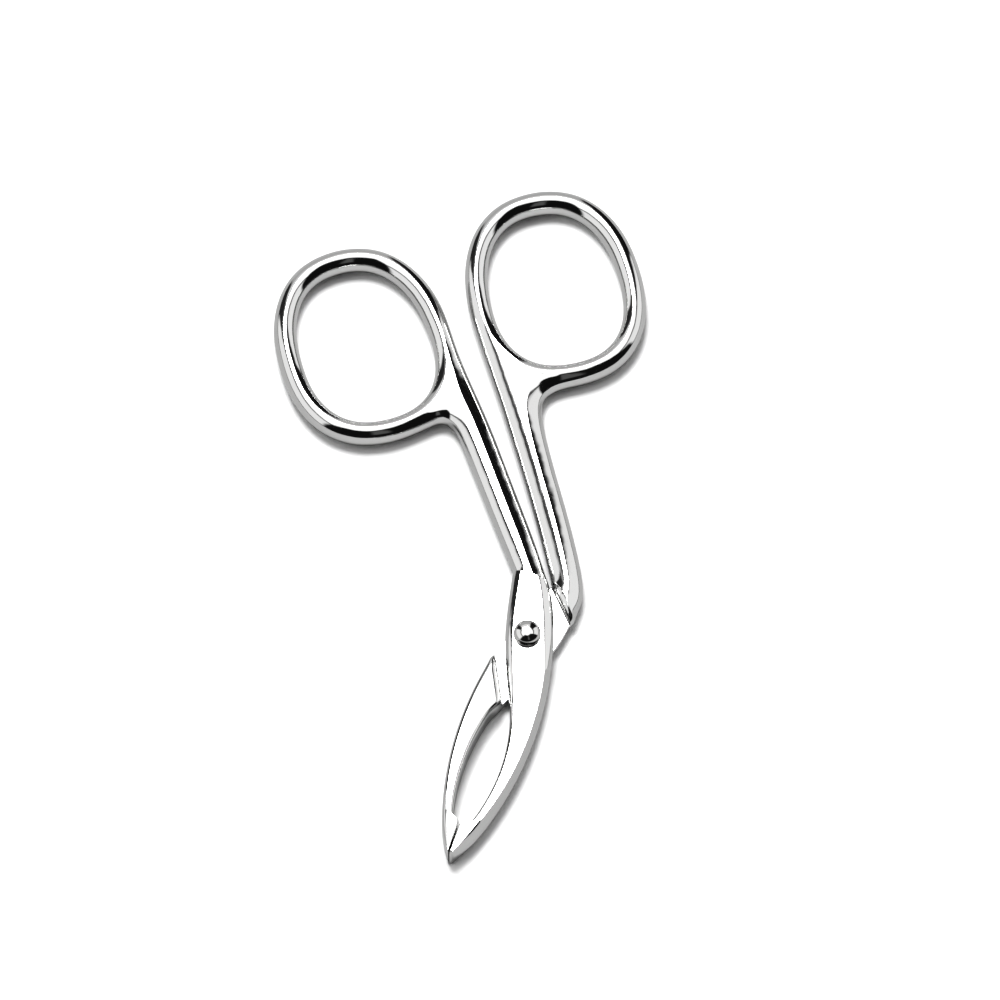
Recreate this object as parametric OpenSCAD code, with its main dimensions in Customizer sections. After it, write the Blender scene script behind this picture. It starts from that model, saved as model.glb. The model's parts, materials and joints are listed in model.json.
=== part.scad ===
// Scissor-handled tweezers: two bent levers that cross at a half-lap joint on one domed rivet.
// Sizes are in millimetres and +Z is up. The origin is on the rivet's axis, at the face that the
// tool rests on, and +Y runs from the rivet to between the finger rings. The jaws are closed.

/* [Levers] */
// Thickness of the bar that both levers are shaped from
bar_t = 3.6; // [3.4:0.1:3.8]
// Gap between the two lap faces that slide on each other
lap_gap = 0.06; // [0.04:0.01:0.12]
// Clear gap between the two gripping faces when the jaws are closed
tip_gap = 0.1; // [0.06:0.02:0.2]

/* [Finger rings] */
// Half the width of a ring, between the middles of its bar
ring_across = 9.8; // [9.6:0.1:10]
// Half the length of a ring, between the middles of its bar
ring_along = 12.5; // [12.3:0.1:12.7]
// Half the width of the bar that goes round a ring
ring_bar = 1.47; // [1.35:0.01:1.6]
// Squareness of a ring's outline, where 2 is an ellipse
ring_square = 2.3; // [2:0.1:2.5]
// How much narrower a ring gets towards its far end
ring_egg = 0.05; // [0:0.01:0.1]

/* [Jaws] */
// Angle between the handles' centre line and the line on which the jaws meet
jaw_angle = 28.6; // [28.4:0.1:28.8]
// Distance from the rivet's axis to the jaws' tips
jaw_length = 32.8; // [32.4:0.1:33]
// Distance from the rivet's axis to where the gripping faces begin
grip_start = 28.2; // [27.8:0.1:28.4]

/* [Rivet] */
// Radius of the rivet's shank
pin_r = 1.15; // [1:0.05:1.2]
// Radial clearance of the front lever's hole round the rivet
pin_fit = 0.04; // [0.02:0.01:0.08]
// Radius of the domed head
head_r = 1.8; // [1.6:0.05:1.9]
// Height of the domed head above the lever
head_h = 1.5; // [1.2:0.05:1.6]
// Gap between the domed head and the lever under it
head_gap = 0.03; // [0.02:0.01:0.06]
// Radius of the peened tail, flush in its countersink
tail_r = 1.7; // [1.5:0.05:1.8]
// Depth of the tail's countersink
tail_h = 0.6; // [0.4:0.05:0.8]

/* [Hidden] */

mid_z = bar_t / 2;
ring_steps = 48;          // stretches round a ring
row_steps = 3;            // stretches between two rows of a handle
jaw_steps = 16;           // stretches along a jaw
arc_step = 30;            // degrees between the points of a rounded edge
ring_drop = 0.05;         // a ring's bar is this much lower than the flat of its handle
past = 1;                 // how far a cut runs past what it cuts

// Where each ring's middle is and how far the ring leans to the left, in degrees
front_ring = [-12.65, 45.15];
front_lean = 6;
rear_ring = [12.7, 48.7];
rear_lean = 1.5;

// Each jaw has an outer and an inner edge, and both are arcs that bulge away from the line on which
// the jaws meet: how far it bulges, how far down the jaw its widest place is, and its radius
front_outer = [5.3, 13.2, 48.7];
front_inner = [2.6, 19.3, 26.5];
rear_outer = [4.5, 14, 46.2];
rear_inner = [2.1, 19.4, 30.9];

// Roundness of the edges, as the width that the rounding takes from the flat
handle_edge = 1.3;
web_edge = 0.7;
pivot_edge = 0.9;
jaw_edge = 1;
inner_edge = 0.3;

// Rows across the front lever from its ring to the rivet: left point, right point, and how far the
// rounding reaches in from the left and the right. The first rows lie in the ring's own bar.
front_rows = [
    [-2.6, 47, -1.7, 47, web_edge, web_edge],
    [-3, 42.5, -1.25, 42.5, web_edge, web_edge],
    [-4, 38.3, -0.25, 38, handle_edge, handle_edge],
    [-5.7, 35.3, 0.4, 34.6, handle_edge, handle_edge],
    [-4, 32.9, 1, 31.7, handle_edge, handle_edge],
    [-3.1, 30, 1.35, 29.3, handle_edge, handle_edge],
    [-2.4, 25.8, 1.75, 26, handle_edge, handle_edge],
    [-1.6, 20, 2.55, 20.3, handle_edge, handle_edge],
    [-0.6, 13.4, 3.5, 13.6, handle_edge, handle_edge],
    [0, 9.7, 4, 9.9, handle_edge, handle_edge],
    [-0.8, 7.4, 4.15, 7.2, pivot_edge, pivot_edge],
    [-1.8, 4.5, 4, 4.2, pivot_edge, pivot_edge],
    [-2.9, 0.6, 3.5, 0.2, pivot_edge, pivot_edge],
];

// Rows across the rear lever from its ring, round its bend, to where its jaw begins
rear_rows = [
    [2.1, 51, 3, 51, web_edge, web_edge],
    [1.75, 46, 3.2, 46, web_edge, web_edge],
    [2.15, 41.5, 4.4, 41.5, handle_edge, handle_edge],
    [2.6, 37.4, 6.6, 38.3, handle_edge, handle_edge],
    [2.8, 34.4, 8.3, 36.2, handle_edge, handle_edge],
    [2.95, 32.4, 7.75, 33.2, handle_edge, handle_edge],
    [3.3, 27.4, 7.75, 27.6, handle_edge, handle_edge],
    [3.9, 20, 8.25, 20.2, handle_edge, handle_edge],
    [4.35, 12.6, 8.55, 12.6, handle_edge, handle_edge],
    [4.5, 9.2, 8.55, 8.8, handle_edge, handle_edge],
    [4.4, 6.9, 8.4, 5.9, handle_edge, handle_edge],
    [3.1, 5.7, 7.75, 3.8, pivot_edge, handle_edge],
    [1.5, 4.5, 6.4, 1.65, pivot_edge, pivot_edge],
    [-0.7, 2.9, 4.6, -0.6, pivot_edge, pivot_edge],
    [-2.6, 1.1, 2.4, -2.85, pivot_edge, pivot_edge],
    [-4, -0.6, -0.3, -5, pivot_edge, pivot_edge],
    [-5.5, -2.7, -2.6, -6.85, jaw_edge, inner_edge],
    [-6.8, -4.4, -3.8, -7.6, jaw_edge, inner_edge],
];

// Where each lever is cut to half its thickness, so that the other can lie across it
rear_lap = [[3.85, 10], [6.2, -2], [4, -12], [-5.2, -12], [-4.8, -7.4], [-4.5, -4.5], [-4.4, 10]];
front_lap = [[-4, 11.7], [5, 6.8], [8, 0], [4.5, -2.85], [-6, -11.25], [-8, 0]];

function turn(p, angle) = [
    p[0] * cos(angle) - p[1] * sin(angle),
    p[0] * sin(angle) + p[1] * cos(angle)
];

// A smooth curve through the rows, which keeps every row
function between(a, b, c, d, t) =
    (2 * b + (c - a) * t + (2 * a - 5 * b + 4 * c - d) * t * t
        + (3 * b - a - 3 * c + d) * t * t * t) / 2;
function smooth(rows) = let (last = len(rows) - 1) concat(
    [for (i = [0 : last - 1], j = [0 : row_steps - 1])
        between(rows[max(i - 1, 0)], rows[i], rows[i + 1], rows[min(i + 2, last)], j / row_steps)],
    [rows[last]]
);

// How far an arc stands off the line on which the jaws meet, at a distance down the jaw
function stand_off(arc, down) =
    let (across = down - arc[1]) arc[0] - arc[2] + sqrt(arc[2] * arc[2] - across * across);

// Rows across a jaw. side is 1 for the jaw on the right of the line and -1 for the one on its left.
function jaw_rows(side, outer, inner, from) = [
    for (i = [0 : jaw_steps])
        let (
            down = from + (jaw_length - from) * i / jaw_steps,
            tip_pull = 1.3 * pow(max(0, (down - grip_start) / (jaw_length - grip_start)), 3),
            out = side * (stand_off(outer, down) - tip_pull),
            in = down > grip_start - 1 ? -side * 0.4 : side * stand_off(inner, down),
            a = turn([out, -down], -jaw_angle),
            b = turn([in, -down], -jaw_angle)
        )
        side > 0 ? [b[0], b[1], a[0], a[1], inner_edge, jaw_edge]
            : [a[0], a[1], b[0], b[1], jaw_edge, inner_edge]
];

// The points round a lever's bar at one row: over its right edge and back round its left
function bar_loop(row) =
    let (
        left = [row[0], row[1]],
        wide = norm([row[2] - row[0], row[3] - row[1]]),
        across = [row[2] - row[0], row[3] - row[1]] / wide,
        limit = 0.48 * wide
    )
    concat(
        [for (a = [90 : -arc_step : -90])
            let (edge = min(row[5], limit), p = left + across * (wide - edge + edge * cos(a)))
            [p[0], p[1], mid_z + mid_z * sin(a)]],
        [for (a = [270 : -arc_step : 90])
            let (edge = min(row[4], limit), p = left + across * (edge + edge * cos(a)))
            [p[0], p[1], mid_z + mid_z * sin(a)]]
    );

// A point on the middle line of a ring's bar
function ring_point(middle, lean, a) =
    let (
        v = ring_along * sign(sin(a)) * pow(abs(sin(a)), 2 / ring_square),
        u = ring_across * (1 - ring_egg * v / ring_along) * sign(cos(a)) * pow(abs(cos(a)), 2 / ring_square)
    )
    middle + turn([u, v], lean);

// The points round a ring's bar at one place
function ring_loop(middle, lean, a) =
    let (
        along = ring_point(middle, lean, a + 2) - ring_point(middle, lean, a - 2),
        out = [along[1], -along[0]] / norm(along),
        p = ring_point(middle, lean, a)
    )
    [for (b = [0 : arc_step : 359])
        [p[0] + out[0] * ring_bar * cos(b), p[1] + out[1] * ring_bar * cos(b),
            mid_z + (mid_z - ring_drop) * sin(b)]];

// A closed skin over loops of points: open runs get an end face at each end
module skin(loops, joined) {
    around = len(loops[0]);
    count = len(loops);
    spans = joined ? count : count - 1;
    sides = [for (i = [0 : spans - 1], j = [0 : around - 1])
        let (k = (i + 1) % count, l = (j + 1) % around)
        [i * around + j, i * around + l, k * around + l, k * around + j]];
    ends = joined ? [] : [
        [for (j = [around - 1 : -1 : 0]) j],
        [for (j = [0 : around - 1]) (count - 1) * around + j]
    ];
    polyhedron([for (loop = loops, p = loop) p], concat(sides, ends));
}

// Joins bodies that overlap into one smooth skin, at their own size
module one_skin() {
    resize([0, 0, 0]) union() children();
}

// A lever before its rivet hole is drilled: the ring and the bar, cut where the other lever lies
module lever(rows, middle, lean, side, lap) {
    one_skin() difference() {
        union() {
            skin([for (row = rows) bar_loop(row)], false);
            skin([for (i = [0 : ring_steps - 1]) ring_loop(middle, lean, 360 * i / ring_steps)], true);
        }
        translate([0, 0, side > 0 ? -past : mid_z - lap_gap / 2])
            linear_extrude(past + mid_z + lap_gap / 2) polygon(lap);
        other_jaw_side(side);
    }
}

// Everything past the line on which the jaws meet, for the jaw on side 1 or side -1 of it
module other_jaw_side(side) {
    rotate([0, 0, -jaw_angle])
        translate([side > 0 ? tip_gap / 2 - 10 : -tip_gap / 2, -jaw_length - past, -past])
            cube([10, jaw_length + past - grip_start + 2, bar_t + 2 * past]);
}

module front_lever() {
    color("silver") difference() {
        lever(concat(smooth(front_rows), jaw_rows(1, front_outer, front_inner, 4.2)),
            front_ring, front_lean, 1, front_lap);
        translate([0, 0, -past]) cylinder(r = pin_r + pin_fit, h = bar_t + 2 * past, $fn = 48);
    }
}

module rear_lever() {
    color("gainsboro") difference() {
        lever(concat(smooth(rear_rows), jaw_rows(-1, rear_outer, rear_inner, 9.2)),
            rear_ring, rear_lean, -1, rear_lap);
        translate([0, 0, -past]) cylinder(r = pin_r, h = bar_t + 2 * past, $fn = 48);
        cylinder(r1 = tail_r, r2 = pin_r, h = tail_h, $fn = 48);
    }
}

module pivot_rivet() {
    head_z = bar_t + head_gap;
    ball_r = (head_r * head_r + head_h * head_h) / (2 * head_h);
    color("whitesmoke") union() {
        cylinder(r1 = tail_r, r2 = pin_r, h = tail_h, $fn = 48);
        cylinder(r = pin_r, h = head_z + head_h / 2, $fn = 48);
        intersection() {
            translate([0, 0, head_z + head_h - ball_r]) sphere(r = ball_r, $fn = 48);
            translate([0, 0, head_z]) cylinder(r = 2 * head_r, h = 2 * head_h, $fn = 48);
        }
    }
}

front_lever();
rear_lever();
pivot_rivet();
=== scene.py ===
import json
import math

import bmesh
import bpy
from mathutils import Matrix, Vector


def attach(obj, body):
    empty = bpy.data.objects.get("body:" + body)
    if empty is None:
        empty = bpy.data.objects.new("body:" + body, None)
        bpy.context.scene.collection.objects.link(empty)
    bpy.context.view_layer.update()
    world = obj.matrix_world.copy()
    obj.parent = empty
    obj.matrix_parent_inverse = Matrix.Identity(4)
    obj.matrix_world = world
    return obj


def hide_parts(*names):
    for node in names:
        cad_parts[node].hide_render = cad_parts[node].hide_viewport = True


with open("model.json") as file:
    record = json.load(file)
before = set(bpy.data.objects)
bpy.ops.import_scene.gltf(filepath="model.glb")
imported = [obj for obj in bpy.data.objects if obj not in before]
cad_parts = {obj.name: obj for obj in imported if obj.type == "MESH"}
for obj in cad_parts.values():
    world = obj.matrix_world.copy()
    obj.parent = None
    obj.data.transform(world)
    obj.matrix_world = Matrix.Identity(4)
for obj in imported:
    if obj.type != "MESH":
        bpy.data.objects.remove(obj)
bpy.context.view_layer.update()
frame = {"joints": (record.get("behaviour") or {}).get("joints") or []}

mm = 0.001

# The camera comes first, at a long lens so that both rings keep their size
view = {
    "azimuth": -10.66,       # degrees, 0 looks along +Y
    "elevation": 63,
    "lens": 1200,            # mm
    "across": 127.2,         # mm that the picture is wide at the rivet
    "right": -3.46,          # mm from the rivet to the middle of the picture
    "up": 17.86,
    "sensor": 36,            # mm
    "near": 0.05,            # metres, nothing is drawn closer or farther
    "far": 40,
}


def makeCamera():
    a = math.radians(view["azimuth"])
    e = math.radians(view["elevation"])
    back = Vector((math.sin(a) * math.cos(e), -math.cos(a) * math.cos(e), math.sin(e)))
    right = Vector((math.cos(a), math.sin(a), 0))
    up = back.cross(right)
    data = bpy.data.cameras.new("camera")
    data.lens = view["lens"]
    data.sensor_width = view["sensor"]
    camera = bpy.data.objects.new("camera", data)
    bpy.context.scene.collection.objects.link(camera)
    pivot = Vector(frame["joints"][0]["pos_m"])
    aim = pivot + (right * view["right"] + up * view["up"]) * mm
    distance = view["across"] * mm * view["lens"] / data.sensor_width
    camera.location = aim + back * distance
    camera.rotation_euler = back.to_track_quat("Z", "Y").to_euler()
    data.clip_start = view["near"]
    data.clip_end = view["far"]
    bpy.context.scene.camera = camera


makeCamera()
print("camera set")


class Wire:      # one output socket, so that shader maths reads as plain sums
    def __init__(self, board, socket):
        self.board = board
        self.socket = socket

    def calc(self, operation, *values):
        return self.board.add("ShaderNodeMath", {"operation": operation}, dict(enumerate(values)))

    def __add__(self, other):
        return self.calc("ADD", self, other)

    def __radd__(self, other):
        return self.calc("ADD", other, self)

    def __sub__(self, other):
        return self.calc("SUBTRACT", self, other)

    def __rsub__(self, other):
        return self.calc("SUBTRACT", other, self)

    def __mul__(self, other):
        return self.calc("MULTIPLY", self, other)

    def __rmul__(self, other):
        return self.calc("MULTIPLY", other, self)

    def __truediv__(self, other):
        return self.calc("DIVIDE", self, other)


class Board:     # the node tree of a material or of the world
    def __init__(self, tree):
        self.tree = tree
        tree.nodes.clear()

    def add(self, kind, settings=None, sockets=None, out=0):
        node = self.tree.nodes.new(kind)
        for name, value in (settings or {}).items():
            setattr(node, name, value)
        for name, value in (sockets or {}).items():
            if isinstance(value, Wire):
                self.tree.links.new(value.socket, node.inputs[name])
            else:
                node.inputs[name].default_value = value
        if node.outputs:
            return Wire(self, node.outputs[out])
        return None

    def smooth(self, value, low, high):      # 0 below low, 1 above high, eased between
        return self.add("ShaderNodeMapRange", {"interpolation_type": "SMOOTHSTEP"},
                        {"Value": value, "From Min": low, "From Max": high})


def turned(point, degrees):
    a = math.radians(degrees)
    return (point[0] * math.cos(a) - point[1] * math.sin(a),
            point[0] * math.sin(a) + point[1] * math.cos(a))


# A subdivided loop runs inside its corners. This moves the corners out until the smooth loop
# passes through the wanted points, as far as each point's pull allows.
def pushedOut(wanted, pulls, rounds=8):
    points = [Vector(p) for p in wanted]
    count = len(points)
    for _ in range(rounds):
        smooth = [(points[i - 1] + 4 * points[i] + points[(i + 1) % count]) / 6
                  for i in range(count)]
        points = [point + (Vector(target) - reached) * pull
                  for point, target, reached, pull in zip(points, wanted, smooth, pulls)]
    return points


def applyModifiers(piece):
    shaped = piece.evaluated_get(bpy.context.evaluated_depsgraph_get())
    mesh = bpy.data.meshes.new_from_object(shaped)
    piece.modifiers.clear()
    piece.data = mesh


class Cage:      # quads that a subdivision surface rounds
    def __init__(self):
        self.points = []
        self.faces = []

    def loop(self, points):
        first = len(self.points)
        self.points.extend(points)
        return list(range(first, len(self.points)))

    def bridge(self, a, b):
        count = len(a)
        for i in range(count):
            j = (i + 1) % count
            self.faces.append((a[i], a[j], b[j], b[i]))

    def piece(self, name, levels):
        mesh = bpy.data.meshes.new(name)
        mesh.from_pydata([tuple(Vector(p) * mm) for p in self.points], [], self.faces)
        bm = bmesh.new()
        bm.from_mesh(mesh)
        loose = [v for v in bm.verts if not v.link_faces]
        bmesh.ops.delete(bm, geom=loose, context="VERTS")
        bmesh.ops.recalc_face_normals(bm, faces=bm.faces)
        bm.to_mesh(mesh)
        bm.free()
        piece = bpy.data.objects.new(name, mesh)
        bpy.context.scene.collection.objects.link(piece)
        modifier = piece.modifiers.new("round", "SUBSURF")
        modifier.levels = levels
        modifier.render_levels = levels
        applyModifiers(piece)
        return piece


# The levers: each is a ring that a bar grows out of, over its lap and on to its jaw
ringShape = {
    "across": 9.8,           # mm from the middle to the bar's middle line
    "along": 12.5,
    "square": 2.3,           # 2 would be an ellipse
    "egg": 0.05,
    "barHalf": 1.46,
    "barHigh": 1.74,
    "sections": 24,
    "sides": 12,
    "span": 5,               # sections that the handle grows out of
    "webRound": 0.6,         # mm that the ring's outer edge moves in there
    "webPast": 0.6,          # sections that the flattening runs on at both ends
    "webRise": 0.75,         # below 1 it sets in faster
    "webTop": 0.8,           # how much of it reaches the bar's middle line
}

levers = {
    "flatTop": 3.58,         # mm above the table
    "flatBottom": 0.03,
    "middle": 1.8,
    "lapTop": 1.76,          # the rear lever's half reaches up to here
    "lapBottom": 1.84,       # and the front lever's half down to here
    "jawAngle": 28.6,        # degrees
    "jawLength": 32.42,
    "gripGap": 0.05,         # from a gripping face to the line on which the jaws meet
    "tipStart": 28.5,        # distance down the jaw at which its outer edge turns in
    "tipCurve": 2.5,         # 1 would be a straight taper
    "tipNarrows": 0.2,       # share that the outer rounding loses on its way to the tip
    "support": 0.14,         # how close the rows beside a lap step lie
    "levels": 3,             # of subdivision
}

# How an edge is rounded: how far the rounding reaches in and down, then where the bend lies
# on both, as shares (0.29 is a quarter of an ellipse, 0.5 a straight bevel)
roundHandle = (1.45, 1.77, 0.29, 0.29)
bevelHandle = (2.0, 1.77, 0.36, 0.3)
rearHandle = (1.9, 1.77, 0.3, 0.29)
rearBevel = (1.9, 1.7, 0.35, 0.33)
roundPivot = (1, 1.6, 0.29, 0.29)
widePivot = (1.3, 1.7, 0.29, 0.29)
bevelJaw = (1.3, 1.7, 0.42, 0.42)
roundJaw = (0.85, 0.75, 0.34, 0.34)
innerJaw = (0.6, 0.55, 0.34, 0.34)
tipEdge = (0.16, 0.16, 0.4, 0.4)
sharpEdge = (0.05, 0.05, 0.29, 0.29)

rounding = {
    "widest": 0.45,          # share of the bar's width that one edge may take
    "softFrom": 0.2,         # mm deep, anything less counts as a sharp edge
    "heldFrom": 1,           # mm deep, anything less may sag a little, or it would bulge up
    "slant": 1.45,           # how far the first row of a handle may widen its roundings
    "slantMore": 0.5,        # and by how much more with each row after it
}


def ringPoint(lever, degrees):
    a = math.radians(degrees)
    power = 2 / ringShape["square"]
    v = ringShape["along"] * math.copysign(abs(math.sin(a)) ** power, math.sin(a))
    narrow = 1 - ringShape["egg"] * v / ringShape["along"]
    u = ringShape["across"] * narrow * math.copysign(abs(math.cos(a)) ** power, math.cos(a))
    x, y = turned((u, v), lever["lean"])
    return Vector((lever["ring"][0] + x, lever["ring"][1] + y))


# Places round the ring at equal steps along its bar, the first where the handle's hole starts
def ringPlaces(lever):
    fine = 1440
    points = [ringPoint(lever, lever["holeStart"] + 360 * i / fine) for i in range(fine + 1)]
    lengths = [0.0]
    for a, b in zip(points, points[1:]):
        lengths.append(lengths[-1] + (b - a).length)
    places = []
    for i in range(ringShape["sections"]):
        wanted = lengths[-1] * i / ringShape["sections"]
        k = next(n for n, length in enumerate(lengths) if length >= wanted)
        k = min(max(k, 1), fine - 1)
        tangent = (points[k + 1] - points[k - 1]).normalized()
        places.append((points[k], Vector((tangent.y, -tangent.x))))
    return places


def ringLoops(lever):
    places = ringPlaces(lever)
    sides = ringShape["sides"]
    wanted = []
    for at, out in places:
        loop = []
        for k in range(sides):
            b = 2 * math.pi * k / sides
            flat = at + out * ringShape["barHalf"] * math.cos(b)
            height = levers["middle"] + ringShape["barHigh"] * math.sin(b)
            loop.append(Vector((flat.x, flat.y, height)))
        wanted.append(loop)
    # the same push in both directions, round the bar and along it
    across = [pushedOut(loop, [1] * sides) for loop in wanted]
    count = len(across)
    columns = [pushedOut([across[i][k] for i in range(count)], [1] * count) for k in range(sides)]
    return [[columns[k][i] for k in range(sides)] for i in range(count)]


# One cross-section of the bar, going over the top, down the right side, back underneath and up
def barLoop(row):
    left = Vector(row["left"])
    right = Vector(row["right"])
    across = (right - left).normalized()
    wide = (right - left).length
    low = row["low"]
    high = row["high"]
    tops = ringShape["span"] + 1

    def corner(side, style, end, sign):
        stretch = row["leftStretch"] if sign > 0 else row["rightStretch"]
        reach = min(style[0] * stretch, rounding["widest"] * wide)
        flat = side + across * reach * sign
        share = min(1, style[1] / (0.5 * (high - low)))
        inset = reach * style[2] * share
        drop = style[1] * (1 - share) + style[1] * style[3] * share
        return flat, Vector((*(side + across * inset * sign), end["z"] - end["up"] * drop))

    def run(start, end, z):
        flats = [start.lerp(end, i / (tops - 1)) for i in range(tops)]
        return [Vector((flat.x, flat.y, z)) for flat in flats]

    def wall(side, first, last):
        return [first, Vector((side.x, side.y, 0.5 * (first.z + last.z))), last]

    top = {"z": high, "up": 1}
    bottom = {"z": low, "up": -1}
    leftTop, leftHigh = corner(left, row["leftTop"], top, 1)
    rightTop, rightHigh = corner(right, row["rightTop"], top, -1)
    leftLow, leftUnder = corner(left, row["leftBottom"], bottom, 1)
    rightLow, rightUnder = corner(right, row["rightBottom"], bottom, -1)
    points = run(leftTop, rightTop, high) + wall(right, rightHigh, rightUnder)
    points += run(rightLow, leftLow, low) + wall(left, leftUnder, leftHigh)

    soft = {name: int(row[name][1] > rounding["softFrom"])
            for name in ("leftTop", "rightTop", "leftBottom", "rightBottom")}
    held = {name: int(row[name][1] > rounding["heldFrom"]) for name in ("leftTop", "rightTop")}
    flatPart = [0] * (tops - 2)

    def wallPulls(first, last):
        return [soft[first], max(soft[first], soft[last]), soft[last]]

    pulls = [held["leftTop"], *flatPart, held["rightTop"]] + wallPulls("rightTop", "rightBottom")
    pulls += [soft["rightBottom"], *flatPart, soft["leftBottom"]]
    pulls += wallPulls("leftBottom", "leftTop")
    return pushedOut(points, pulls)


def barRow(left, right, kind, low=None, high=None):
    leftTop, rightTop, leftBottom, rightBottom = kind
    return {
        "left": left,
        "right": right,
        "low": levers["flatBottom"] if low is None else low,
        "high": levers["flatTop"] if high is None else high,
        "leftTop": leftTop,
        "rightTop": rightTop,
        "leftBottom": leftBottom,
        "rightBottom": rightBottom,
        "leftStretch": 1,
        "rightStretch": 1,
    }


def handleRows(places, kind):
    rows = []
    last = len(places) - 1
    for i, (left, right) in enumerate(places):
        row = barRow(left, right, kind)
        across = (Vector(right) - Vector(left)).normalized()
        for end, name in enumerate(("leftStretch", "rightStretch")):
            along = Vector(places[min(i + 1, last)][end]) - Vector(places[max(i - 1, 0)][end])
            most = rounding["slant"] + rounding["slantMore"] * i
            row[name] = min(1 / abs(across.cross(along.normalized())), most)
        rows.append(row)
    return rows


# A lap step: rows close to its line on both sides, with the wall between. Its upper edge is
# rounded by rows that drop, given as distances from the line and drops
def stepRows(before, after, left, right, onward, roundBefore=(), roundAfter=()):
    onward = Vector(onward).normalized()

    def near(distance):
        return tuple(Vector(left) + onward * distance), tuple(Vector(right) + onward * distance)

    rows = [barRow(*near(-distance), **dict(before, high=levers["flatTop"] - drop))
            for distance, drop in roundBefore]
    if not roundBefore:
        rows = [barRow(*near(-levers["support"]), **before), barRow(left, right, **before)]
    more = [barRow(*near(distance), **dict(after, high=levers["flatTop"] - drop))
            for distance, drop in roundAfter]
    if not roundAfter:
        more = [barRow(left, right, **after), barRow(*near(levers["support"]), **after)]
    return rows + more


# How far a jaw's edge stands off the line on which the jaws meet, on an arc that bulges by
# bulge at the distance widest down the jaw
def standOff(arc, down):
    bulge, widest, radius = arc
    return bulge - radius + math.sqrt(radius ** 2 - (down - widest) ** 2)


def jawRows(jaw):
    side = jaw["side"]
    last = levers["jawLength"]
    inner = [(standOff(jaw["inner"], down), down) for down in jaw["innerPlaces"]] + jaw["throat"]
    inner += [(levers["gripGap"], down) for down in jaw["gripPlaces"] + [last]]
    start, end = inner[0][1], inner[-1][1]
    rows = []
    for off, down in inner:
        t = (down - start) / (end - start)
        outerDown = jaw["outerStart"] + (last - jaw["outerStart"]) * t
        towardsTip = max(0, (outerDown - levers["tipStart"]) / (last - levers["tipStart"]))
        turnedIn = jaw["tipPull"] * towardsTip ** levers["tipCurve"]
        outer = standOff(jaw["outer"], outerDown) - turnedIn
        innerPoint = turned((side * off, -down), -levers["jawAngle"])
        outerPoint = turned((side * outer, -outerDown), -levers["jawAngle"])
        outerEdge = (jaw["edge"][0] * (1 - levers["tipNarrows"] * t ** 3), *jaw["edge"][1:])
        innerEdge = tipEdge if off < 2 * levers["gripGap"] else innerJaw
        if side > 0:
            rows.append(barRow(innerPoint, outerPoint, (innerEdge, outerEdge) * 2))
        else:
            rows.append(barRow(outerPoint, innerPoint, (outerEdge, innerEdge) * 2))
    return rows


# A grid of quads over the last row: the top and bottom runs joined straight across
def closeEnd(cage, loop):
    tops = ringShape["span"] + 1
    walls = (len(loop) - 2 * tops) // 2      # points on each side
    top = loop[:tops]
    rightSide = loop[tops:tops + walls]
    bottom = loop[tops + walls:2 * tops + walls][::-1]
    leftSide = loop[2 * tops + walls:][::-1]
    grid = [top]
    for level in range(walls):
        t = (level + 1) / (walls + 1)
        inside = [Vector(cage.points[top[i]]).lerp(Vector(cage.points[bottom[i]]), t)
                  for i in range(1, tops - 1)]
        grid.append([leftSide[level]] + cage.loop(inside) + [rightSide[level]])
    grid.append(bottom)
    for a, b in zip(grid, grid[1:]):
        for i in range(tops - 1):
            cage.faces.append((a[i], a[i + 1], b[i + 1], b[i]))


def leverPiece(lever, rows):
    cage = Cage()
    loops = ringLoops(lever)
    count = len(loops)
    span = ringShape["span"]
    # k counts round the ring's section: 0 is its outside, 3 the top, 6 the inside, 9 underneath.
    # The ring flattens on top and underneath where the web of the handle leaves it, and its
    # outer edge gets as wide a rounding as the handle's
    places = ringPlaces(lever)
    past = ringShape["webPast"]
    for i in range(span + 1):
        share = math.sin(math.pi * (i + past) / (span + 2 * past)) ** ringShape["webRise"]
        out = places[i][1]
        for k, amount in ((2, 1), (3, ringShape["webTop"]), (10, 1), (9, ringShape["webTop"])):
            p = loops[i][k]
            flat = levers["flatTop"] if k < 6 else levers["flatBottom"]
            p.z += (flat - p.z) * share * amount
            if k in (2, 10):
                p.x -= out.x * ringShape["webRound"] * share
                p.y -= out.y * ringShape["webRound"] * share
    index = [cage.loop(loop) for loop in loops]
    sides = ringShape["sides"]
    for i in range(count):
        j = (i + 1) % count
        for k in range(sides):
            m = (k + 1) % sides
            if i < span and k in (10, 11, 0, 1):
                continue
            cage.faces.append((index[i][k], index[i][m], index[j][m], index[j][k]))
    hole = [index[i][2] for i in range(span + 1)]
    hole += [index[span][1], index[span][0], index[span][11]]
    hole += [index[i][10] for i in range(span, -1, -1)]
    hole += [index[0][11], index[0][0], index[0][1]]
    before = hole
    for row in rows:
        loop = cage.loop(barLoop(row))
        cage.bridge(before, loop)
        before = loop
    closeEnd(cage, before)
    piece = cage.piece(lever["name"], levers["levels"])
    for vertex in piece.data.vertices:      # ground flat on both faces
        vertex.co.z = min(max(vertex.co.z, levers["flatBottom"] * mm), levers["flatTop"] * mm)
    return piece


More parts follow.
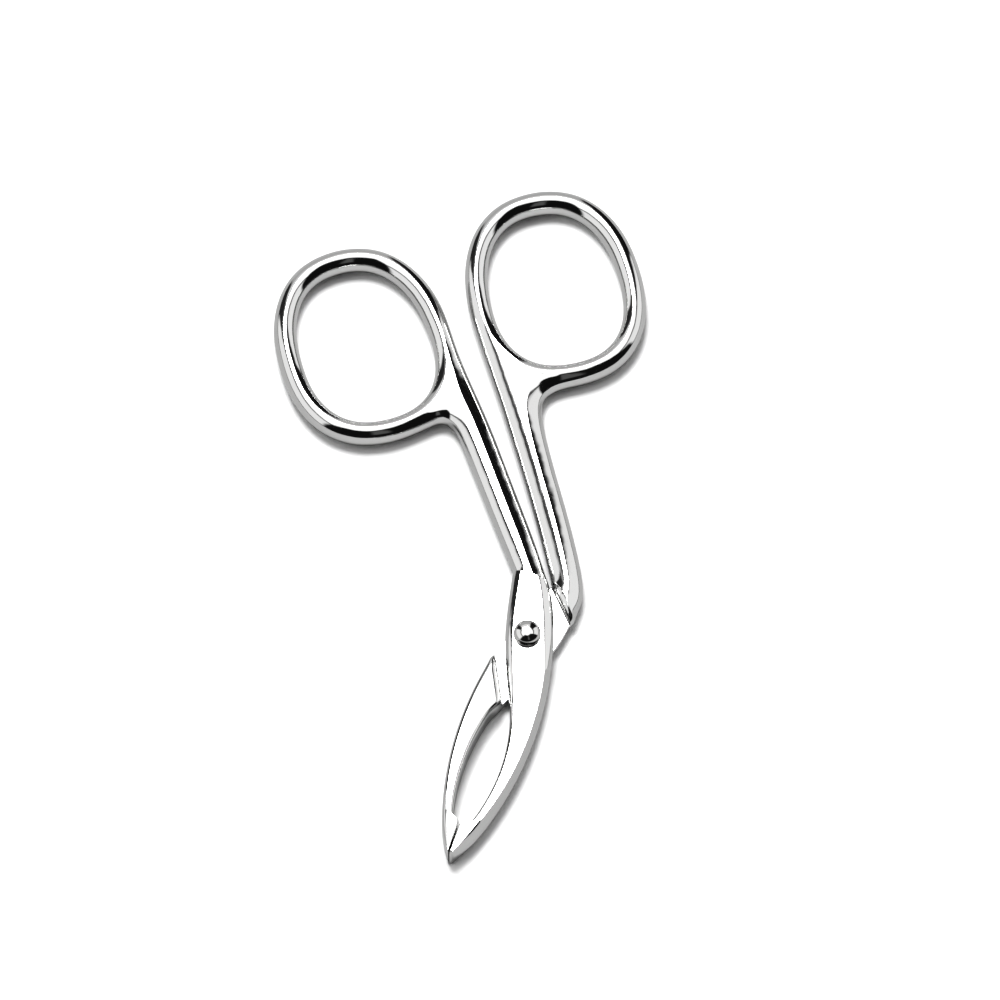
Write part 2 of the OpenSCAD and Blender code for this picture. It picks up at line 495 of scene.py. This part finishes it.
frontLever = {
    "name": "front_lever_chrome",
    "ring": (-12.65, 45.15),
    "lean": 6,
    "holeStart": -69,        # degrees round the ring, at the fillet under it
    "handle": [
        ((-5.0, 32.7), (-1.2, 42.9)),
        ((-4.2, 32.2), (-0.62, 39.4)),
        ((-3.6, 31.3), (0, 36.2)),
        ((-3.2, 30), (0.6, 33.2)),
        ((-2.95, 28.4), (1.1, 30.4)),
        ((-2.65, 26.6), (1.5, 27.7)),
        ((-2.3, 24.4), (1.87, 25)),
        ((-1.93, 21.9), (2.25, 22.3)),
        ((-1.52, 19.3), (2.65, 19.6)),
        ((-1.1, 16.6), (3.05, 16.8)),
        ((-0.65, 13.9), (3.45, 14)),
        ((-0.3, 11.8), (3.75, 11.2)),
        ((-0.07, 10.3), (3.95, 8.9)),
    ],
    "step": ((0, 9.55), (4.08, 7.4)),
    "lap": [
        ((-0.35, 8.6), (4.15, 6.2)),
        ((-1.05, 6.5), (4.12, 4.8)),
        ((-1.75, 4.3), (4.0, 3.3)),
        ((-2.4, 2), (3.8, 1.75)),
        ((-2.95, -0.3), (3.52, 0.2)),
        ((-3.35, -2.7), (3.2, -1.2)),
        ((-3.65, -5.1), (2.88, -2.45)),
        ((-3.87, -7.4), (2.55, -3.6)),
    ],
    "lapEnd": ((-4.05, -9.6), (2.2, -4.75)),
}

frontJaw = {
    "side": 1,
    "outer": (5.3, 13.2, 48.7),      # arcs: bulge, where it is widest, radius
    "inner": (2.6, 19.3, 26.5),
    "innerPlaces": [12, 14, 16.3, 18.6, 20.9, 23, 24.8, 26.2, 27],
    "throat": [(1.3, 27.5), (0.95, 27.85), (0.45, 28.02), (0.06, 28.1)],
    "gripPlaces": [28.3, 29.2, 30.4, 31.6, 32.1],
    "outerStart": 4.9,
    "edge": bevelJaw,
    "tipPull": 0.75,
}

rearLever = {
    "name": "rear_lever_chrome",
    "ring": (12.7, 48.7),
    "lean": 1.5,
    "holeStart": 184.5,
    "handle": [
        ((1.6, 45), (9.8, 34.3)),
        ((1.83, 42.5), (8.9, 33.85)),
        ((2.1, 40.1), (8.28, 33.0)),
        ((2.38, 37.8), (7.92, 31.8)),
        ((2.65, 35.4), (7.75, 30.15)),
        ((2.9, 33), (7.72, 28.2)),
        ((3.12, 30.5), (7.78, 26.4)),
        ((3.35, 27.8), (7.87, 24.4)),
        ((3.6, 24.8), (8, 22.1)),
        ((3.85, 21.6), (8.17, 19.6)),
        ((4.08, 18.3), (8.33, 17)),
        ((4.27, 15), (8.46, 14.2)),
        ((4.4, 12), (8.54, 11.6)),
        ((4.47, 9.9), (8.56, 9.1)),
        ((4.52, 8.6), (8.5, 7.2)),
        ((4.52, 7.9), (8.33, 5.6)),
        ((4.5, 7.45), (7.9, 4.1)),
        ((4.47, 7.15), (7.05, 2.75)),
    ],
    "step": ((4.44, 6.98), (5.75, 1.05)),
    "lap": [
        ((3, 5.7), (4.5, -0.6)),
        ((1, 4.1), (2.9, -2.4)),
        ((-0.9, 2.7), (0.9, -4)),
        ((-2.5, 1), (-1.3, -5.8)),
        ((-3.7, -0.35), (-3.4, -7.5)),
    ],
    "lapEnd": ((-4.5, -1.5), (-4.95, -8.55)),
}

rearJaw = {
    "side": -1,
    "outer": (4.5, 14, 46.2),
    "inner": (2.1, 19.4, 30.9),
    "innerPlaces": [11.5, 13.2, 15.2, 17.4, 19.8, 22, 23.9, 25.4, 26.5],
    "throat": [(1.08, 27.2), (0.8, 27.55), (0.38, 27.75), (0.06, 27.84)],
    "gripPlaces": [28.05, 29, 30.3, 31.6, 32.1],
    "outerStart": 5.2,
    "edge": roundJaw,
    "tipPull": 0.58,
}


def buildFrontLever():
    handle = (roundHandle, bevelHandle, roundHandle, roundHandle)
    lapKind = (roundPivot, widePivot, sharpEdge, sharpEdge)
    lapLow = levers["lapBottom"]
    rows = handleRows(frontLever["handle"], handle)
    rows += stepRows({"kind": handle}, {"kind": lapKind, "low": lapLow},
                     *frontLever["step"], (-0.2, -1))
    rows += [barRow(left, right, lapKind, low=lapLow) for left, right in frontLever["lap"]]
    rows += stepRows({"kind": (innerJaw, widePivot, sharpEdge, sharpEdge), "low": lapLow},
                     {"kind": (innerJaw, bevelJaw, innerJaw, roundJaw)},
                     *frontLever["lapEnd"], (-0.3, -1))
    rows += jawRows(frontJaw)
    return leverPiece(frontLever, rows)


def buildRearLever():
    handle = (rearHandle, rearBevel, roundHandle, roundHandle)
    lapKind = (sharpEdge, sharpEdge, roundPivot, roundPivot)
    lapHigh = levers["lapTop"]
    rows = handleRows(rearLever["handle"], handle)
    rows += stepRows({"kind": handle}, {"kind": lapKind, "high": lapHigh},
                     *rearLever["step"], (-1, -0.6),
                     roundBefore=((0.75, 0.06), (0.4, 0.2), (0.14, 0.45), (0, 0.85)))
    rows += [barRow(left, right, lapKind, high=lapHigh) for left, right in rearLever["lap"]]
    rows += stepRows({"kind": (sharpEdge, sharpEdge, roundJaw, innerJaw), "high": lapHigh},
                     {"kind": (roundJaw, innerJaw, roundJaw, innerJaw)},
                     *rearLever["lapEnd"], (-1, -0.8),
                     roundAfter=((0, 0.5), (0.25, 0.24), (0.6, 0.06), (0.95, 0)))
    rows += jawRows(rearJaw)
    return leverPiece(rearLever, rows)


frontPiece = buildFrontLever()
rearPiece = buildRearLever()
print("levers shaped")

bores = {
    "loose": 1.19,           # mm radii, in the front lever and in the rear one
    "tight": 1.16,
    "sink": 1.7,             # the rivet's foot sits in here
    "sinkHigh": 0.62,
    "below": -1,             # heights at which a drill starts or ends, clear of the metal
    "between": 1,
    "above": 5,
    "aboveLap": 3,
    "around": 96,
}


def bore(piece, radius, low, high):
    bm = bmesh.new()
    bmesh.ops.create_cone(bm, cap_ends=True, segments=bores["around"], radius1=radius * mm,
                          radius2=radius * mm, depth=(high - low) * mm)
    bmesh.ops.translate(bm, verts=bm.verts, vec=(0, 0, 0.5 * (high + low) * mm))
    mesh = bpy.data.meshes.new("drill")
    bm.to_mesh(mesh)
    bm.free()
    drill = bpy.data.objects.new("drill", mesh)
    bpy.context.scene.collection.objects.link(drill)
    cut = piece.modifiers.new("bore", "BOOLEAN")
    cut.operation = "DIFFERENCE"
    cut.object = drill
    cut.solver = "EXACT"
    applyModifiers(piece)
    bpy.data.objects.remove(drill)


bore(frontPiece, bores["loose"], bores["between"], bores["above"])
bore(rearPiece, bores["tight"], bores["below"], bores["aboveLap"])
bore(rearPiece, bores["sink"], bores["below"], bores["sinkHigh"])
print("bores cut")

rivet = {
    "shank": 1.15,           # mm radii and heights
    "head": 1.8,
    "headHigh": 1.5,
    "square": 2.4,           # 2 would be an ellipse
    "under": 3.62,           # underside of the head
    "tail": 1.66,
    "tailHigh": 0.6,
    "tailLow": 0.012,        # the foot's middle, just off the table
    "tailDish": 0.05,        # how much higher its rim is
    "tailRim": (0.01, 0.09),     # how far the rim stands out, and its height
    "tailSteps": 8,
    "rimInset": 0.02,
    "neckInset": 0.08,
    "domeStart": 4,          # degrees, below it the head's rim is upright
    "domeSteps": 28,
    "around": 96,
}


def rivetProfile():
    r = rivet["head"] - rivet["rimInset"]
    h = rivet["headHigh"]
    power = 2 / rivet["square"]
    start, steps = rivet["domeStart"], rivet["domeSteps"]
    dome = []
    for i in range(steps):
        a = math.radians(start + (90 - start) * i / steps)
        dome.append((r * math.cos(a) ** power, rivet["under"] + h * math.sin(a) ** power))
    steps = rivet["tailSteps"]
    tail = [(rivet["tail"] * i / steps, rivet["tailLow"] + rivet["tailDish"] * (i / steps) ** 2)
            for i in range(1, steps + 1)]
    out, rimHigh = rivet["tailRim"]
    foot = [(rivet["tail"] + out, rimHigh), (rivet["shank"], rivet["tailHigh"])]
    neck = [(rivet["shank"], rivet["under"]), (r - rivet["neckInset"], rivet["under"])]
    return tail + foot + neck + dome, rivet["under"] + h


def buildRivet():
    profile, top = rivetProfile()
    count = rivet["around"]
    points = [(0, 0, rivet["tailLow"])]
    faces = []
    for r, z in profile:
        turns = [2 * math.pi * i / count for i in range(count)]
        points += [(r * math.cos(a), r * math.sin(a), z) for a in turns]
    points.append((0, 0, top))
    last = len(points) - 1
    for i in range(count):
        j = (i + 1) % count
        faces.append((0, 1 + j, 1 + i))
        for k in range(len(profile) - 1):
            a, b = 1 + k * count, 1 + (k + 1) * count
            faces.append((a + i, a + j, b + j, b + i))
        end = 1 + (len(profile) - 1) * count
        faces.append((end + i, end + j, last))
    mesh = bpy.data.meshes.new("pivot_rivet_chrome")
    mesh.from_pydata([tuple(Vector(p) * mm) for p in points], [], faces)
    piece = bpy.data.objects.new("pivot_rivet_chrome", mesh)
    bpy.context.scene.collection.objects.link(piece)
    return piece


rivetPiece = buildRivet()
print("rivet turned")

for piece in (frontPiece, rearPiece, rivetPiece):
    for face in piece.data.polygons:
        face.use_smooth = True

leverLook = {
    "tint": (0.6, 0.6, 0.595),
    "tintWorn": (0.5, 0.485, 0.46),
    "roughness": 0.05,
    "roughnessHazy": 0.14,
    "wave": 0.09,            # how much the plating ripples the reflections
    "scratch": 0.04,         # fine polishing lines
    "seed": 3.1,
}

rivetLook = {
    "tint": (0.6, 0.598, 0.59),
    "tintWorn": (0.48, 0.465, 0.44),
    "roughness": 0.045,
    "roughnessHazy": 0.12,
    "wave": 0.03,
    "scratch": 0.03,
    "seed": 8.4,
}


plating = {                  # what both chromes share
    "hazeScale": 160,        # scales are per metre
    "haze": (0.48, 0.72),    # the noise values between which haze and wear set in
    "lineStretch": (9000, 900, 9000),
    "hollowScale": 330,
    "speckScale": 2400,
    "wear": (0.66, 0.74),
    "wornTint": 0.7,
    "hazeRough": 0.5,        # shares of the step from clean to hazy
    "lineRough": 0.2,
    "wornRough": 0.15,
    "lineDeep": 0.02,
    "wornDeep": 0.004,
    "relief": 0.0006,        # metres
}


def makeChrome(name, look):
    material = bpy.data.materials.new(name)
    material.use_nodes = True
    board = Board(material.node_tree)
    place = board.add("ShaderNodeTexCoord", {}, {}, 3)

    def noise(vector, seed, scale, detail, **more):
        return board.add("ShaderNodeTexNoise", {"noise_dimensions": "4D"},
                         {"Vector": vector, "W": look["seed"] + seed, "Scale": scale,
                          "Detail": detail, **more})

    # haze and finger marks in soft patches
    patches = noise(place, 0, plating["hazeScale"], 5, Roughness=0.6)
    haze = board.smooth(patches, *plating["haze"])
    # polishing lines, long in one direction and very fine across it
    stretched = board.add("ShaderNodeVectorMath", {"operation": "MULTIPLY"},
                          {0: place, 1: plating["lineStretch"]})
    lines = noise(stretched, 5, 1, 3)
    # slight hollows left by grinding, and specks where the plating is worn
    hollows = noise(place, 9, plating["hollowScale"], 1.5)
    specks = noise(place, 2, plating["speckScale"], 2)
    worn = board.smooth(specks, *plating["wear"]) * haze
    tint = board.add("ShaderNodeMix", {"data_type": "RGBA"},
                     {0: worn * plating["wornTint"], 6: (*look["tint"], 1),
                      7: (*look["tintWorn"], 1)}, 2)
    spread = look["roughnessHazy"] - look["roughness"]
    roughness = (look["roughness"] + haze * spread * plating["hazeRough"]
                 + lines * spread * plating["lineRough"] + worn * plating["wornRough"])
    relief = (hollows * look["wave"] + lines * look["scratch"] * plating["lineDeep"]
              - worn * plating["wornDeep"])
    bump = board.add("ShaderNodeBump", {},
                     {"Height": relief, "Strength": 1, "Distance": plating["relief"]})
    shader = board.add("ShaderNodeBsdfPrincipled", {}, {
        "Base Color": tint,
        "Metallic": 1,
        "Roughness": roughness,
        "Normal": bump,
    })
    board.add("ShaderNodeOutputMaterial", {}, {"Surface": shader})
    return material


leverChrome = makeChrome("lever chrome", leverLook)
rivetChrome = makeChrome("rivet chrome", rivetLook)
frontPiece.data.materials.append(leverChrome)
rearPiece.data.materials.append(leverChrome)
rivetPiece.data.materials.append(rivetChrome)
print("chrome made")

# The table and the light tent, of which the chrome mirrors every part. A panel of the tent is
# given as the degrees it is turned from the camera's side, half its width, its lowest and
# highest edge, its shade, and how soft its sides and its edges are
studio = {
    "floorWide": 3,          # metres
    "floorDrop": 0.00002,    # below the tool's lowest point
    "floorWhite": 1.0,       # as seen from above
    "floorMirrored": 0.5,    # as the chrome mirrors it
    "worldLight": 0.75,      # how much of the tent's light falls on the floor
    "ceiling": 2.2,
    "ceilingSets": (0.72, 0.8),      # sines of the heights between which it sets in
    "walls": 1.6,
    "wallEdges": (-5, 48, 2),        # lowest and highest edge, and softness
    "back": (180, 42, -6, 38, 0.75, 8, 4),
    "seam": 0.08,            # between the ceiling and the walls
    "seamEdges": (51, 58, 1.5),
    "seamGap": (20, 8),      # half width and softness of the gap in it, at the back
    "skirting": 0.1,         # the walls' foot, at both sides
    "skirtingEdges": (-4, 4, 1.5),
    "skirtingWide": (50, 8),
    "posts": (               # dark, in the far corners
        (150, 15, -5, 55, 0.01, 2, 2),
        (-133, 11, -5, 50, 0.03, 2, 2),
    ),
    "opening": (17, 69, 2, 77, 0.008, 4, 2),     # the dark room behind the camera
    "lamp": (15, 7, 30, 68, 0.14, 3, 3),         # faint, in the opening
}

keyLight = {
    "place": (-0.03, 0.28, 0.62),    # metres
    "aim": (0, 0.02, 0),
    "size": (0.3, 0.25),
    "power": 5.4,
}


def makeFloor():
    mesh = bpy.data.meshes.new("floor")
    half = studio["floorWide"] / 2
    corners = [(-half, -half, 0), (half, -half, 0), (half, half, 0), (-half, half, 0)]
    mesh.from_pydata(corners, [], [(0, 1, 2, 3)])
    floor = bpy.data.objects.new("floor", mesh)
    floor.location.z = -studio["floorDrop"]
    bpy.context.scene.collection.objects.link(floor)
    material = bpy.data.materials.new("white table")
    material.use_nodes = True
    board = Board(material.node_tree)
    seen = board.add("ShaderNodeLightPath", {}, {}, 0)
    shade = seen * (studio["floorWhite"] - studio["floorMirrored"]) + studio["floorMirrored"]
    shader = board.add("ShaderNodeBsdfDiffuse", {}, {"Color": shade, "Roughness": 0.5})
    board.add("ShaderNodeOutputMaterial", {}, {"Surface": shader})
    mesh.materials.append(material)


def makeWorld():
    world = bpy.data.worlds.new("studio")
    bpy.context.scene.world = world
    world.use_nodes = True
    board = Board(world.node_tree)
    direction = board.add("ShaderNodeTexCoord", {}, {}, 0)
    x, y, z = [board.add("ShaderNodeSeparateXYZ", {}, {0: direction}, i) for i in range(3)]
    # a hair over 1, so that nothing is divided by zero straight overhead
    level = board.add("ShaderNodeMath", {"operation": "SQRT"}, {0: 1.0001 - z * z})

    def towards(degrees):            # 1 straight towards that azimuth, 0 is the -Y side
        a = math.radians(degrees)
        return (x * math.sin(a) - y * math.cos(a)) / level

    def band(low, high, soft):       # 1 between two heights in degrees
        edges = (low - soft, low + soft, high - soft, high + soft)
        sines = [math.sin(math.radians(d)) for d in edges]
        return board.smooth(z, sines[0], sines[1]) * (1 - board.smooth(z, sines[2], sines[3]))

    def within(side, wide, soft):    # 1 within that many degrees of a side
        cosines = [math.cos(math.radians(wide + d)) for d in (soft, -soft)]
        return board.smooth(side, cosines[0], cosines[1])

    def paint(value, shade, mask):
        return value * (1 - mask) + shade * mask

    camera = view["azimuth"]

    def panel(value, turn, wide, low, high, shade, sideSoft, edgeSoft):
        mask = within(towards(camera + turn), wide, sideSoft) * band(low, high, edgeSoft)
        return paint(value, shade, mask)

    value = studio["ceiling"] * board.smooth(z, *studio["ceilingSets"])
    value = value + studio["walls"] * band(*studio["wallEdges"])
    value = panel(value, *studio["back"])
    gap = within(towards(camera + 180), *studio["seamGap"])
    value = paint(value, studio["seam"], (1 - gap) * band(*studio["seamEdges"]))
    sides = (within(towards(90), *studio["skirtingWide"])
             + within(towards(-90), *studio["skirtingWide"]))
    value = paint(value, studio["skirting"], sides * band(*studio["skirtingEdges"]))
    for post in studio["posts"]:
        value = panel(value, *post)
    value = panel(value, *studio["opening"])
    value = panel(value, *studio["lamp"])
    onFloor = board.add("ShaderNodeLightPath", {}, {}, 2)
    value = value * (1 - (1 - studio["worldLight"]) * onFloor)
    background = board.add("ShaderNodeBackground", {}, {"Strength": value})
    board.add("ShaderNodeOutputWorld", {}, {"Surface": background})


def makeKeyLight():
    data = bpy.data.lights.new("key", "AREA")
    data.shape = "RECTANGLE"
    data.size, data.size_y = keyLight["size"]
    data.energy = keyLight["power"]
    light = bpy.data.objects.new("key", data)
    place = Vector(keyLight["place"])
    light.location = place
    light.rotation_euler = (place - Vector(keyLight["aim"])).to_track_quat("Z", "Y").to_euler()
    bpy.context.scene.collection.objects.link(light)


makeFloor()
makeWorld()
makeKeyLight()
bpy.context.scene.view_settings.view_transform = "Standard"
print("studio lit")

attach(frontPiece, "front_half")
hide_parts("front_lever")
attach(rearPiece, "rear_half")
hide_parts("rear_lever")
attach(rivetPiece, "rear_half")
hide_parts("pivot_rivet")
